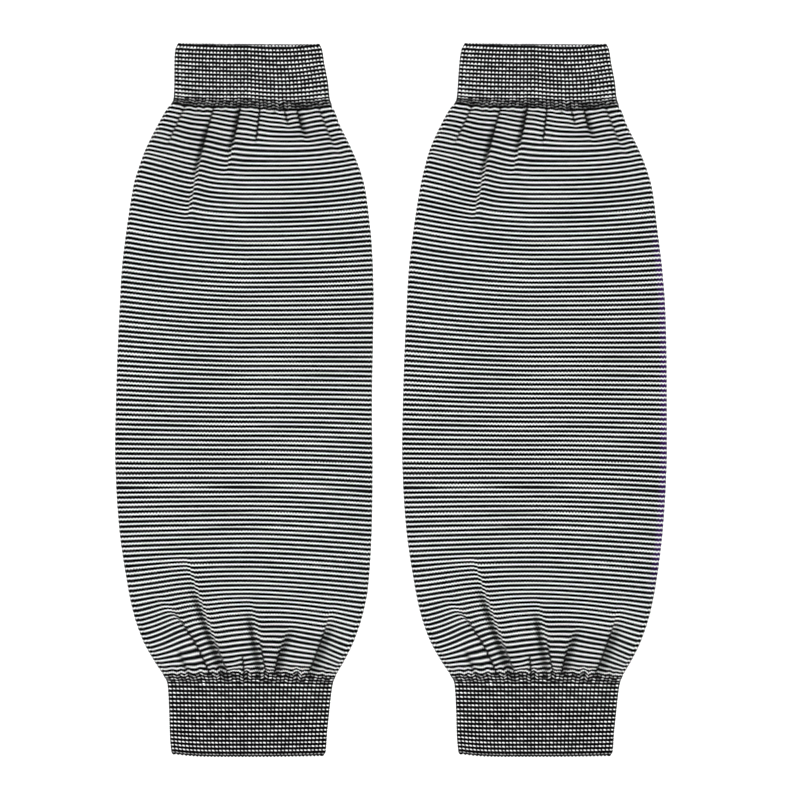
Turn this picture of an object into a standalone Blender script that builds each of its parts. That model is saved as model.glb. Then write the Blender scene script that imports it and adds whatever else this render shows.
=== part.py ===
"""A pair of knitted compression sleeves, laid flat side by side.

Each sleeve is a wide striped tube gathered into two narrower ribbed cuffs. It lies on its back
panel with the front panel on top of it, so every section is a flattened ring with a flat underside,
two round side folds and a front that puffs up where the tube is gathered.

X runs across the pair, Y runs from hem to mouth and Z is up. The origin lies on the surface, midway
between the two sleeves. All sizes are in metres.
"""

import bisect
import math
from collections import namedtuple

import bmesh
import bpy

# Driving sizes
SLEEVE_SPACING = 0.1532
BODY_WALL = 0.0014
CUFF_WALL = 0.0018
SEAM_GAP = 0.0003
LAYER_GAP = 0.0004
MOUTH = 0.1884
UPPER_SEAM = 0.1566
LOWER_SEAM = -0.1464
HEM = -0.1902

# Ribs of the cuffs
RIB_DEPTH = 0.0004
RIBS_ACROSS = 40
RIBS_IN_FOLD = 3

# How finely the walls are faceted
BODY_RINGS = 19
CUFF_RINGS = 5
COLUMNS = 36
BACK_COLUMNS = 12
CUFF_LINING_COLUMNS = 12
FOLD_STEPS = 4

# How late the knitted courses bow between the middle of a panel and its right fold
RIGHT_BOW = 2.2

# Where along its length a gather starts and ends on the half wave that sets its depth
GATHER_START = 0.12
GATHER_END = 1.0

# Half widths of the flat sleeve on each side of its centre line
Section = namedtuple("Section", "y left right")
OUTLINE = (
    Section(-0.1904, 0.0400, 0.0408),
    Section(-0.1880, 0.0411, 0.0419),
    Section(-0.1778, 0.0414, 0.0426),
    Section(-0.1671, 0.0417, 0.0437),
    Section(-0.1565, 0.0422, 0.0449),
    Section(-0.1511, 0.0431, 0.0458),
    Section(-0.1474, 0.0450, 0.0473),
    Section(-0.1394, 0.0502, 0.0519),
    Section(-0.1287, 0.0561, 0.0571),
    Section(-0.1127, 0.0615, 0.0622),
    Section(-0.0913, 0.0656, 0.0661),
    Section(-0.0700, 0.0686, 0.0686),
    Section(-0.0486, 0.0702, 0.0701),
    Section(-0.0272, 0.0709, 0.0708),
    Section(0.0155, 0.0700, 0.0707),
    Section(0.0475, 0.0686, 0.0700),
    Section(0.0689, 0.0674, 0.0684),
    Section(0.0902, 0.0649, 0.0658),
    Section(0.1116, 0.0616, 0.0631),
    Section(0.1223, 0.0593, 0.0603),
    Section(0.1330, 0.0563, 0.0560),
    Section(0.1479, 0.0496, 0.0489),
    Section(0.1543, 0.0460, 0.0465),
    Section(0.1562, 0.0447, 0.0452),
    Section(0.1578, 0.0432, 0.0449),
    Section(0.1600, 0.0419, 0.0441),
    Section(0.1690, 0.0411, 0.0431),
    Section(0.1800, 0.0403, 0.0410),
    Section(0.1869, 0.0394, 0.0396),
    Section(0.1897, 0.0362, 0.0372),
)

# How far a course rises from the middle of the front to its left and right fold, how far it dips
# between the middle and the right fold, the share of that bow which the back panel has, and how
# late it bows towards its left fold
Course = namedtuple("Course", "y left right dip back bend")
COURSES = (
    Course(-0.1902, -0.0010, -0.0005, 0.0, 0.0, 1.7),
    Course(-0.1554, -0.0004, -0.0009, 0.0, 0.0, 1.7),
    Course(-0.1464, -0.0020, -0.0012, 0.0, 0.5, 2.0),
    Course(-0.1388, -0.0019, -0.0042, 0.0, 0.8, 1.7),
    Course(-0.1335, -0.0032, -0.0058, 0.0, 1.0, 1.7),
    Course(-0.1228, -0.0053, -0.0072, 0.0, 1.0, 1.7),
    Course(-0.1129, -0.0049, -0.0067, 0.0, 1.0, 1.7),
    Course(-0.0993, -0.0032, -0.0047, 0.0, 1.0, 1.7),
    Course(-0.0694, -0.0017, -0.0036, 0.0, 1.0, 1.7),
    Course(-0.0294, 0.0003, -0.0021, 0.0, 1.0, 1.7),
    Course(0.0107, 0.0024, -0.0010, 0.0, 1.0, 1.7),
    Course(0.0502, 0.0048, 0.0008, 0.0, 1.0, 1.7),
    Course(0.0902, 0.0074, 0.0029, 0.0, 1.0, 1.7),
    Course(0.1196, 0.0080, 0.0043, 0.0, 1.0, 1.7),
    Course(0.1303, 0.0069, 0.0026, 0.0006, 1.0, 1.7),
    Course(0.1463, 0.0030, 0.0002, 0.0013, 0.6, 2.4),
    Course(0.1566, 0.0019, 0.0004, 0.0015, 0.3, 4.0),
    Course(0.1606, 0.0012, 0.0011, 0.0013, 0.0, 4.0),
    Course(0.1733, 0.0013, 0.0021, 0.0013, 0.0, 2.0),
    Course(0.1858, 0.0011, 0.0011, 0.0008, 0.0, 2.0),
    Course(0.1884, 0.0012, 0.0008, 0.0010, 0.0, 2.0),
)

# Height of the side folds and of the middle of the front, and how square the front's crown is
Height = namedtuple("Height", "y fold middle crown")
HEIGHTS = (
    Height(-0.1902, 0.0044, 0.0042, 2.0),
    Height(-0.1620, 0.0046, 0.0050, 2.0),
    Height(-0.1464, 0.0054, 0.0066, 2.5),
    Height(-0.1370, 0.0058, 0.0092, 2.5),
    Height(-0.1250, 0.0057, 0.0086, 3.0),
    Height(-0.1000, 0.0050, 0.0056, 5.0),
    Height(-0.0650, 0.0046, 0.0034, 10.0),
    Height(0.0600, 0.0046, 0.0034, 10.0),
    Height(0.0950, 0.0050, 0.0052, 5.0),
    Height(0.1250, 0.0056, 0.0078, 3.0),
    Height(0.1450, 0.0058, 0.0092, 2.5),
    Height(0.1566, 0.0054, 0.0066, 2.5),
    Height(0.1700, 0.0046, 0.0050, 2.0),
    Height(0.1897, 0.0044, 0.0050, 2.0),
)

# Gathers that run from a seam into the front: their places at the seam and at the far end as
# shares of the half width, their length, depth and half width
Gather = namedtuple("Gather", "near far length depth width")
UPPER_GATHERS = (
    Gather(-0.73, -0.74, 0.026, 0.0018, 0.0020),
    Gather(-0.40, -0.52, 0.066, 0.0026, 0.0024),
    Gather(-0.08, -0.22, 0.043, 0.0022, 0.0020),
    Gather(0.15, 0.07, 0.024, 0.0018, 0.0018),
    Gather(0.32, 0.30, 0.008, 0.0010, 0.0015),
    Gather(0.42, 0.44, 0.015, 0.0016, 0.0016),
    Gather(0.57, 0.57, 0.024, 0.0020, 0.0018),
    Gather(0.84, 0.85, 0.033, 0.0018, 0.0022),
)
LOWER_GATHERS = (
    Gather(-0.91, -0.91, 0.008, 0.0010, 0.0016),
    Gather(-0.70, -0.70, 0.014, 0.0014, 0.0018),
    Gather(-0.44, -0.62, 0.037, 0.0026, 0.0020),
    Gather(-0.23, -0.50, 0.066, 0.0028, 0.0030),
    Gather(-0.04, -0.06, 0.012, 0.0014, 0.0015),
    Gather(0.21, 0.02, 0.045, 0.0022, 0.0024),
    Gather(0.30, 0.39, 0.029, 0.0024, 0.0022),
    Gather(0.68, 0.73, 0.045, 0.0024, 0.0022),
    Gather(0.84, 0.79, 0.009, 0.0010, 0.0016),
)

# Where the rows of gathers hand over to each other in the smooth middle of the tube
HAND_OVER_TOP = 0.060
HAND_OVER_BOTTOM = -0.055

# Where a side of one sleeve is drawn in more than on its twin
Tuck = namedtuple("Tuck", "side top bottom depth")
LEFT_SLEEVE_TUCKS = (
    Tuck("left", 0.1917, 0.1169, 0.0022),
    Tuck("right", 0.0876, -0.1031, 0.0042),
)

Sleeve = namedtuple("Sleeve", "name centre tucks")
SLEEVES = (
    Sleeve("left", -SLEEVE_SPACING / 2, LEFT_SLEEVE_TUCKS),
    Sleeve("right", SLEEVE_SPACING / 2, ()),
)

Yarn = namedtuple("Yarn", "colour roughness")
STRIPED_JERSEY = Yarn((0.36, 0.36, 0.36, 1.0), 0.85)
RIB_KNIT = Yarn((0.20, 0.20, 0.20, 1.0), 0.90)


def clear_scene():
    """Take away whatever the file starts with."""
    for item in list(bpy.data.objects):
        bpy.data.objects.remove(item, do_unlink=True)


def knit_material(name, yarn):
    """A matt cloth material in the knit's average colour."""
    material = bpy.data.materials.new(name)
    material.use_nodes = True
    shader = material.node_tree.nodes["Principled BSDF"]
    shader.inputs["Base Color"].default_value = yarn.colour
    shader.inputs["Roughness"].default_value = yarn.roughness
    shader.inputs["Metallic"].default_value = 0.0
    material.diffuse_color = yarn.colour
    return material


def slope(rows, row, column):
    """Slope of a column at one of the table's rows, flat where the column turns back."""
    steps = []
    for first in (row - 1, row):
        if 0 <= first < len(rows) - 1:
            run = rows[first + 1].y - rows[first].y
            steps.append((rows[first + 1][column] - rows[first][column]) / run)
    if len(steps) == 1:
        return steps[0]
    before, after = steps
    if before * after <= 0.0:
        return 0.0
    return 2.0 * before * after / (before + after)


def row_at(rows, y):
    """The table's row at height y, on a smooth curve through the rows that it holds."""
    heights = [row.y for row in rows]
    first = min(max(bisect.bisect_right(heights, y) - 1, 0), len(rows) - 2)
    low, high = rows[first], rows[first + 1]
    run = high.y - low.y
    t = min(max((y - low.y) / run, 0.0), 1.0)
    rise = t * t * (3.0 - 2.0 * t)
    leave = t * (1.0 - t) ** 2
    arrive = t * t * (t - 1.0)
    values = [y]
    for column in range(1, len(low)):
        start = slope(rows, first, column) * run
        end = slope(rows, first + 1, column) * run
        value = low[column] + (high[column] - low[column]) * rise + start * leave + end * arrive
        values.append(value)
    return type(low)(*values)


def half_width(sleeve, side, y):
    """Half width of the sleeve at height y on its left or right side."""
    width = getattr(row_at(OUTLINE, y), side)
    for tuck in sleeve.tucks:
        if tuck.side == side and tuck.bottom < y < tuck.top:
            wave = math.sin(math.pi * (y - tuck.bottom) / (tuck.top - tuck.bottom))
            width -= tuck.depth * wave
    return width


def front_course(course, share):
    """Height of a course on the front panel, at a share of the half width from -1 to 1."""
    if share < 0.0:
        return course.y + course.left * abs(share) ** course.bend
    return course.y + course.right * share**RIGHT_BOW - course.dip * math.sin(math.pi * share)


def back_course(course, share):
    """Height of a course on the back panel: it joins the front's at both folds."""
    left, right = front_course(course, -1.0), front_course(course, 1.0)
    straight = left + (right - left) * (share + 1.0) / 2.0
    return straight + course.back * (front_course(course, share) - straight)


def gather_place(gather, along):
    """Where a gather runs, as a share of the half width, a way along from its seam."""
    reach = min(along / gather.length, 1.0)
    return gather.near + (gather.far - gather.near) * reach


def gathers_near(y):
    """The gathers whose seam is nearer to height y, and the distance from that seam."""
    if y > (UPPER_SEAM + LOWER_SEAM) / 2.0:
        return UPPER_GATHERS, max(UPPER_SEAM - y, 0.0)
    return LOWER_GATHERS, max(y - LOWER_SEAM, 0.0)


def gather_depth(y, x, half):
    """How deep the gathers press the front panel in at a point of the body."""
    gathers, along = gathers_near(y)
    depth = 0.0
    for gather in gathers:
        reach = along / gather.length
        if reach < 1.0:
            swell = math.sin(math.pi * (GATHER_START + (GATHER_END - GATHER_START) * reach))
            offset = (x - gather_place(gather, along) * half) / gather.width
            depth += gather.depth * swell * math.exp(-offset * offset)
    return depth


def columns_for(gathers, along):
    """Places of the front's columns, with one column down the bottom of every gather."""
    anchors = {0: -1.0, COLUMNS: 1.0}
    for gather in gathers:
        anchors[round((gather.near + 1.0) / 2.0 * COLUMNS)] = gather_place(gather, along)
    fixed = sorted(anchors)
    places = []
    for column in range(COLUMNS + 1):
        after = max(bisect.bisect_left(fixed, column), 1)
        low, high = fixed[after - 1], fixed[after]
        t = (column - low) / (high - low)
        places.append(anchors[low] + (anchors[high] - anchors[low]) * t)
    return places


def body_columns(y):
    """Places of the body's front columns at height y, from the left fold to the right one."""
    upper = columns_for(UPPER_GATHERS, max(UPPER_SEAM - y, 0.0))
    lower = columns_for(LOWER_GATHERS, max(y - LOWER_SEAM, 0.0))
    t = (y - HAND_OVER_BOTTOM) / (HAND_OVER_TOP - HAND_OVER_BOTTOM)
    t = min(max(t, 0.0), 1.0)
    weight = t * t * (3.0 - 2.0 * t)
    return [b + (a - b) * weight for a, b in zip(upper, lower)]


def even_columns(count):
    """Places of evenly spaced columns, from the left fold to the right one."""
    return [-1.0 + 2.0 * column / count for column in range(count + 1)]


def front_height(y, x, half, flat_half, wall, gathered):
    """Height of the front panel's outer face above the surface."""
    height = row_at(HEIGHTS, y)
    crown = 1.0 - min(abs(x) / flat_half, 1.0) ** height.crown
    top = height.fold + (height.middle - height.fold) * crown
    if gathered:
        top -= gather_depth(y, x, half) * crown
    return max(top, 2.0 * wall + LAYER_GAP)


def fold_point(sleeve, course, side, angle, inset):
    """A point on the round fold at one side of a section, sunk into the wall by inset."""
    sign = -1.0 if side == "left" else 1.0
    y = front_course(course, sign)
    radius = row_at(HEIGHTS, course.y).fold / 2.0
    across = half_width(sleeve, side, y) - radius + (radius - inset) * math.cos(angle)
    return (sign * across, y, radius + (radius - inset) * math.sin(angle))


def panel_point(sleeve, course, place, inset, front, wall, gathered):
    """A point on the front or back panel, at a place from -1 to 1 between the two folds."""
    side = "left" if place < 0.0 else "right"
    radius = row_at(HEIGHTS, course.y).fold / 2.0
    bow = front_course if front else back_course
    y = bow(course, place)
    half = half_width(sleeve, side, y)
    flat_half = half - radius
    x = place * flat_half
    if not front:
        return (x, y, inset)
    return (x, y, front_height(course.y, x, half, flat_half, wall, gathered) - inset)


def ring(sleeve, height, wall, columns, fold_steps, inset, groove=0.0, gathered=False):
    """One closed section of the tube, from the back's left end round to the left fold.

    Every second point of the front and the folds is sunk by groove, which raises the ribs.
    """
    course = row_at(COURSES, height)
    points = []
    for place in even_columns(BACK_COLUMNS):
        points.append(panel_point(sleeve, course, place, inset, False, wall, gathered))
    for step in range(1, fold_steps):
        angle = math.pi * (step / fold_steps - 0.5)
        sunk = inset + groove * (step % 2)
        points.append(fold_point(sleeve, course, "right", angle, sunk))
    for index, place in enumerate(reversed(columns)):
        sunk = inset + groove * (index % 2)
        points.append(panel_point(sleeve, course, place, sunk, True, wall, gathered))
    for step in range(1, fold_steps):
        angle = math.pi * (0.5 - step / fold_steps)
        sunk = inset + groove * (step % 2)
        points.append(fold_point(sleeve, course, "left", angle, sunk))
    return points


def add_tube(bm, rings):
    """Add the rings' vertices and the faces between each ring and the next."""
    loops = [[bm.verts.new(point) for point in points] for points in rings]
    for first, second in zip(loops, loops[1:]):
        for index in range(len(first)):
            after = (index + 1) % len(first)
            bm.faces.new((first[index], first[after], second[after], second[index]))
    return loops


def close_rim(bm, outer, inner):
    """Join an outer loop to an inner one with triangles, whatever their counts."""
    outer_step, inner_step = 0, 0
    while outer_step < len(outer) or inner_step < len(inner):
        a, b = outer[outer_step % len(outer)], inner[inner_step % len(inner)]
        outer_next = outer[(outer_step + 1) % len(outer)]
        inner_next = inner[(inner_step + 1) % len(inner)]
        go_outer = inner_step == len(inner)
        if outer_step < len(outer) and inner_step < len(inner):
            go_outer = (outer_next.co - b.co).length <= (inner_next.co - a.co).length
        if go_outer:
            bm.faces.new((a, outer_next, b))
            outer_step += 1
        else:
            bm.faces.new((a, inner_next, b))
            inner_step += 1


def knit_object(name, outer_rings, inner_rings, material, parent):
    """Make the tube's mesh object from its outer and inner rings and hang it on its sleeve."""
    bm = bmesh.new()
    outer = add_tube(bm, outer_rings)
    inner = add_tube(bm, inner_rings)
    for end in (0, -1):
        close_rim(bm, outer[end], inner[end])
    bmesh.ops.triangulate(bm, faces=bm.faces)
    bmesh.ops.recalc_face_normals(bm, faces=bm.faces)
    mesh = bpy.data.meshes.new(name)
    bm.to_mesh(mesh)
    bm.free()
    mesh.materials.append(material)
    mesh.shade_smooth()
    item = bpy.data.objects.new(name, mesh)
    bpy.context.scene.collection.objects.link(item)
    item.parent = parent
    return item


def body_heights():
    """Heights of the body's rings, closer together where the gathers are."""
    top, bottom = UPPER_SEAM - SEAM_GAP / 2.0, LOWER_SEAM + SEAM_GAP / 2.0
    heights = []
    for index in range(BODY_RINGS):
        share = 0.5 - 0.5 * math.cos(math.pi * index / (BODY_RINGS - 1))
        heights.append(top + (bottom - top) * share)
    return heights


def make_body(sleeve, parent, material):
    """The striped tube between the two cuffs."""
    outer, inner = [], []
    for height in body_heights():
        columns = body_columns(height)
        for rings, inset in ((outer, 0.0), (inner, BODY_WALL)):
            rings.append(
                ring(sleeve, height, BODY_WALL, columns, FOLD_STEPS, inset, gathered=True)
            )
    knit_object(sleeve.name + "_body", outer, inner, material, parent)


def make_cuff(sleeve, parent, material, name, top, bottom):
    """A cuff whose ribs stand out over a plain inside."""
    outer, inner = [], []
    rib_columns = even_columns(2 * RIBS_ACROSS)
    lining_columns = even_columns(CUFF_LINING_COLUMNS)
    for index in range(CUFF_RINGS):
        height = top + (bottom - top) * index / (CUFF_RINGS - 1)
        outer.append(
            ring(sleeve, height, CUFF_WALL, rib_columns, 2 * RIBS_IN_FOLD, 0.0, RIB_DEPTH)
        )
        inner.append(ring(sleeve, height, CUFF_WALL, lining_columns, FOLD_STEPS, CUFF_WALL))
    knit_object(sleeve.name + "_" + name, outer, inner, material, parent)


def make_sleeve(sleeve, body_material, cuff_material):
    """One sleeve: its body and both cuffs, on an empty at the sleeve's centre line."""
    parent = bpy.data.objects.new(sleeve.name + "_sleeve", None)
    bpy.context.scene.collection.objects.link(parent)
    parent.location = (sleeve.centre, 0.0, 0.0)
    make_body(sleeve, parent, body_material)
    upper_end = UPPER_SEAM + SEAM_GAP / 2.0
    lower_end = LOWER_SEAM - SEAM_GAP / 2.0
    make_cuff(sleeve, parent, cuff_material, "upper_cuff", MOUTH, upper_end)
    make_cuff(sleeve, parent, cuff_material, "lower_cuff", lower_end, HEM)


def main():
    """Build both sleeves."""
    clear_scene()
    for sleeve in SLEEVES:
        body_material = knit_material(sleeve.name + "_striped_jersey", STRIPED_JERSEY)
        cuff_material = knit_material(sleeve.name + "_rib_knit", RIB_KNIT)
        make_sleeve(sleeve, body_material, cuff_material)


main()
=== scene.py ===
"""The finish of a pair of knitted compression sleeves, laid flat side by side.

Each sleeve is knitted as one tube: a wide body in single black and white courses, gathered into a
ribbed cuff at each end. Every piece here is a closed thin shell on the form of its plain solid,
with the knit's ridges, ribs and folds in its mesh and its yarns in its material.

All sizes are in metres. X runs across the pair, Y runs from hem to mouth and Z is up.
"""

import logging
import math
from dataclasses import dataclass, replace
from enum import Enum
from typing import Iterable, NamedTuple, Sequence

import bpy
import numpy as np
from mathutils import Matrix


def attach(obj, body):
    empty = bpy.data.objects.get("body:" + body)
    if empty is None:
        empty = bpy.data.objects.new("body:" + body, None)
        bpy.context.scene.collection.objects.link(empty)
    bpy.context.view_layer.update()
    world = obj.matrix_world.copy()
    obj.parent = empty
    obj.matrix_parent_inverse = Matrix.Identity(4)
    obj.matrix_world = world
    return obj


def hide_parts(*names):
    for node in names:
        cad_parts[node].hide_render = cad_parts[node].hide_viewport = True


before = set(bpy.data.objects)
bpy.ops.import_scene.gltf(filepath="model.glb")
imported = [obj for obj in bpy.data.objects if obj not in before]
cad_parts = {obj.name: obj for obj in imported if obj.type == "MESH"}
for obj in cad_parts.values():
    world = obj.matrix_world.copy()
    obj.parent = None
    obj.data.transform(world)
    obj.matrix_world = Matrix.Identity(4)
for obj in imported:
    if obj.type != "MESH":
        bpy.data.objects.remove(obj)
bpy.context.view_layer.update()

LOG = logging.getLogger("sleeves")

Grid = np.ndarray
Colour = tuple[float, float, float]
Socket = bpy.types.NodeSocket
Sockets = dict[str, Socket]
Tree = bpy.types.NodeTree

# Driving sizes, as in the solids
SLEEVE_SPACING = 0.1532
BODY_WALL = 0.0014
CUFF_WALL = 0.0018
LAYER_GAP = 0.0004
UPPER_SEAM = 0.1566
LOWER_SEAM = -0.1464

# How deep the knit's own relief is
COURSE_DEPTH = 0.00012
RIB_DEPTH = 0.00035
DOT_DEPTH = 0.00012

# How large a white stitch's bump is, in ribs and pairs of rows, and where a cuff's relief fades
DOT_WIDE = 0.32
DOT_TALL = 0.24
RELIEF_FADE = 1.2

# How far a free edge bulges, least between two ribs, and at which shares of its turn it has rows
RIM_ROLL = 0.0006
RIM_MEAN = 0.8
RIM_SWING = 0.5
RIM_TURNS = np.array((0.25, 0.5, 0.75))

# How a fold's line is drawn
KEEN_SHEAR = 0.00018
CREASE_WIDTH = 0.00045
# Half width and strength of the painted shadow along a fold's sharp line
LINE_WIDTH = 0.00046
LINE_WEIGHT = 1.5
SEAM_HOLD = 0.0060
CUFF_HOLD = 0.0026
BACK_SHARE = 0.42

# By share of a fold's length: how its line and tail fade, and how its trough deepens at the seam
KEEN_FADE = 0.25
TAIL_FADE = 0.5
SWELL_START = 0.4
SWELL_RUN = 0.3

# How squarely the folds and the ruffles end at the side folds
FOLDS_END = 6
RUFFLES_END = 8

# How closely the mesh's columns crowd along the folds, and how finely that is worked out
CROWD_WIDTH = 0.0009
CROWD_STRENGTH = 7.0
CROWD_FADE = 0.4
FINE_PLACES = 1201

# The ruffles' wave lengths, how they swell and lean, and how far from the seam they reach
RUFFLE_LENGTHS = (0.0068, 0.0053, 0.0041)
RUFFLE_SWELL = 5.3
RUFFLE_LEAN = 3.0
RUFFLE_REACH = 0.0036

# How a row's stray place changes across and along the tube, and where it stands at a side fold
WANDER_ACROSS = 90.0
WANDER_ALONG = 400.0
WANDER_FOLD = 6.0

# How the bake map is shared out: the outer face, the edges and the inner face, and round the ring
BAKE_OUTER = 0.92
BAKE_EDGE = 0.015
BAKE_FRONT = 0.60
BAKE_FOLD = 0.03


def smooth_step(share: Grid) -> Grid:
    """Rise smoothly from 0 to 1 as share does, flat beyond both ends."""
    share = np.clip(share, 0.0, 1.0)
    return share * share * (3.0 - 2.0 * share)


def bell(offset: Grid) -> Grid:
    """A bell curve that is 1 at offset 0."""
    return np.exp(-offset * offset)


class Ramp(NamedTuple):
    """A smooth rise from 0 to size that begins at start and is done after run."""

    start: float
    run: float
    size: float = 1.0

    def at(self, value: Grid) -> Grid:
        """How far it has risen at a value."""
        return self.size * smooth_step((value - self.start) / self.run)


# Where the violet fringe begins and ends along the tube, and where it begins across the front
FRINGE_LOW = Ramp(-0.105, 0.03)
FRINGE_HIGH = Ramp(0.095, -0.03)
FRINGE_SIDE = Ramp(0.97, 0.03)

# In the upper cuff: how stitches widen to its sides and, by pair of rows, to its mottled band
WIDE_SIDES = Ramp(0.70, 0.25, 0.22)
WIDE_ROWS = Ramp(9.5, 1.5, 0.14)
UPPER_BAND = Ramp(13.3, 0.5)
UPPER_BAND_DIM = 0.72

# In the lower cuff, by pair of rows: its mottled band at the seam and its last row's dim loops
LOWER_BAND = Ramp(3.4, -0.8)
LOWER_BAND_DIM = 0.34
LAST_ROW = Ramp(19.6, 0.4, 0.50)
MOTTLE = 0.9


class SmoothTable:
    """A short table that is read anywhere on a smooth curve through its rows."""

    def __init__(self, columns: str, *rows: tuple[float, ...]) -> None:
        """Take up the rows.

        Args:
            columns: names of the columns after the first, which says where a row stands.
            rows: the rows, from the lowest place to the highest.
        """
        grid = np.array(rows)
        self.names = columns.split()
        self.places, self.values = grid[:, 0], grid[:, 1:]
        steps = np.diff(self.values, axis=0) / np.diff(self.places)[:, None]
        before, after = np.vstack((steps[:1], steps)), np.vstack((steps, steps[-1:]))
        total = before + after
        mean = 2.0 * before * after / np.where(total == 0.0, 1.0, total)
        self.slopes = np.where(before * after > 0.0, mean, 0.0)

    def read(self, at: Grid) -> dict[str, Grid]:
        """Read every column.

        Args:
            at: the places to read at.

        Returns:
            The values by column name, each in the shape of the places.
        """
        at = np.asarray(at, dtype=float)
        first = np.searchsorted(self.places, at, side="right") - 1
        first = np.clip(first, 0, len(self.places) - 2)
        run = (self.places[first + 1] - self.places[first])[..., None]
        t = np.clip((at - self.places[first])[..., None] / run, 0.0, 1.0)
        low, high = self.values[first], self.values[first + 1]
        curve = low + (high - low) * t * t * (3.0 - 2.0 * t)
        curve = curve + self.slopes[first] * run * t * (1.0 - t) ** 2
        curve = curve + self.slopes[first + 1] * run * t * t * (t - 1.0)
        return {name: curve[..., index] for index, name in enumerate(self.names)}


# Half widths of the flat sleeve on each side of its centre line
OUTLINE = SmoothTable(
    "left right",
    (-0.1904, 0.0388, 0.0402),
    (-0.1880, 0.0408, 0.0418),
    (-0.1778, 0.0417, 0.0426),
    (-0.1671, 0.0420, 0.0437),
    (-0.1565, 0.0425, 0.0449),
    (-0.1511, 0.0431, 0.0458),
    (-0.1474, 0.0450, 0.0473),
    (-0.1394, 0.0502, 0.0519),
    (-0.1287, 0.0561, 0.0571),
    (-0.1127, 0.0615, 0.0622),
    (-0.0913, 0.0656, 0.0661),
    (-0.0700, 0.0686, 0.0686),
    (-0.0486, 0.0702, 0.0701),
    (-0.0272, 0.0709, 0.0708),
    (0.0155, 0.0700, 0.0707),
    (0.0475, 0.0686, 0.0700),
    (0.0689, 0.0674, 0.0684),
    (0.0902, 0.0649, 0.0658),
    (0.1116, 0.0616, 0.0631),
    (0.1223, 0.0593, 0.0603),
    (0.1330, 0.0563, 0.0560),
    (0.1479, 0.0496, 0.0489),
    (0.1543, 0.0460, 0.0465),
    (0.1562, 0.0447, 0.0452),
    (0.1578, 0.0432, 0.0449),
    (0.1600, 0.0419, 0.0441),
    (0.1690, 0.0411, 0.0431),
    (0.1800, 0.0403, 0.0410),
    (0.1869, 0.0392, 0.0399),
    (0.1897, 0.0376, 0.0384),
)

# How far a course rises from the front's middle to its side folds, how far it dips to one side of
# the middle, how much of its curve the back follows, and how late it bends on each side
COURSES = SmoothTable(
    "left right dip back left_bend right_bend",
    (-0.1902, 0.0014, 0.0005, 0.0, 1.0, 5.0, 2.0),
    (-0.1757, 0.0006, 0.0004, 0.0, 1.0, 4.0, 1.6),
    (-0.1623, 0.0003, 0.0001, 0.0, 1.0, 2.5, 1.6),
    (-0.1535, 0.0004, -0.0003, 0.0, 1.0, 2.0, 2.2),
    (-0.1464, -0.0010, -0.0018, 0.0, 0.8, 1.7, 3.0),
    (-0.1388, -0.0018, -0.0036, 0.0, 0.8, 1.7, 3.0),
    (-0.1335, -0.0030, -0.0049, 0.0, 1.0, 2.2, 3.0),
    (-0.1283, -0.0041, -0.0058, 0.0, 1.0, 2.2, 2.6),
    (-0.1228, -0.0048, -0.0060, 0.0, 1.0, 2.1, 2.3),
    (-0.1129, -0.0049, -0.0058, 0.0, 1.0, 2.0, 1.9),
    (-0.0993, -0.0031, -0.0042, 0.0, 1.0, 2.2, 1.5),
    (-0.0694, -0.0013, -0.0031, 0.0, 1.0, 1.7, 1.6),
    (-0.0294, 0.0005, -0.0017, 0.0, 1.0, 1.7, 2.0),
    (0.0107, 0.0025, -0.0006, 0.0, 1.0, 1.7, 2.2),
    (0.0502, 0.0048, 0.0011, 0.0, 1.0, 1.7, 2.2),
    (0.0902, 0.0069, 0.0027, 0.0, 1.0, 1.7, 2.4),
    (0.1196, 0.0071, 0.0037, 0.0, 1.0, 1.7, 3.0),
    (0.1303, 0.0052, 0.0024, 0.0006, 1.0, 1.7, 3.0),
    (0.1463, 0.0026, 0.0000, 0.0013, 0.6, 2.4, 2.4),
    (0.1566, 0.0019, 0.0004, 0.0015, 0.3, 4.0, 2.2),
    (0.1606, 0.0012, 0.0004, 0.0013, 0.0, 4.0, 2.2),
    (0.1733, 0.0013, 0.0011, 0.0013, 0.0, 2.0, 2.2),
    (0.1858, 0.0011, 0.0007, 0.0008, 0.0, 2.0, 2.2),
    (0.1884, 0.0012, 0.0008, 0.0010, 0.0, 2.0, 2.2),
)

# Height of the side folds and of the front's middle, and how square its crown is
HEIGHTS = SmoothTable(
    "fold middle crown",
    (-0.1902, 0.0044, 0.0042, 2.0),
    (-0.1620, 0.0046, 0.0050, 2.0),
    (-0.1464, 0.0054, 0.0066, 2.5),
    (-0.1370, 0.0058, 0.0092, 2.5),
    (-0.1250, 0.0057, 0.0086, 3.0),
    (-0.1000, 0.0050, 0.0056, 5.0),
    (-0.0650, 0.0046, 0.0034, 10.0),
    (0.0600, 0.0046, 0.0034, 10.0),
    (0.0950, 0.0050, 0.0052, 5.0),
    (0.1250, 0.0056, 0.0078, 3.0),
    (0.1450, 0.0058, 0.0092, 2.5),
    (0.1566, 0.0054, 0.0066, 2.5),
    (0.1700, 0.0046, 0.0050, 2.0),
    (0.1897, 0.0044, 0.0050, 2.0),
)

# Where a row of the knit lies on the centre line, counted from the piece's upper end
BODY_ROWS = SmoothTable(
    "y",
    (0.0, 0.1566),
    (4.5, 0.1513),
    (8.5, 0.1465),
    (12.5, 0.1412),
    (16.5, 0.1359),
    (20.5, 0.1301),
    (28.5, 0.1195),
    (36.5, 0.1095),
    (52.5, 0.08963),
    (120.5, 0.0055),
    (188.5, -0.07923),
    (204.5, -0.0991),
    (216.5, -0.1129),
    (224.5, -0.1228),
    (232.5, -0.1336),
    (238.5, -0.1413),
    (243.0, -0.1464),
)

UPPER_CUFF_ROWS = SmoothTable(
    "y",
    (0.0, 0.1884),
    (0.25, 0.1880),
    (1.25, 0.1858),
    (6.25, 0.1750),
    (9.25, 0.16885),
    (13.25, 0.1606),
    (14.25, 0.1591),
    (15.25, 0.1576),
    (16.0, 0.1566),
)

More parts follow.
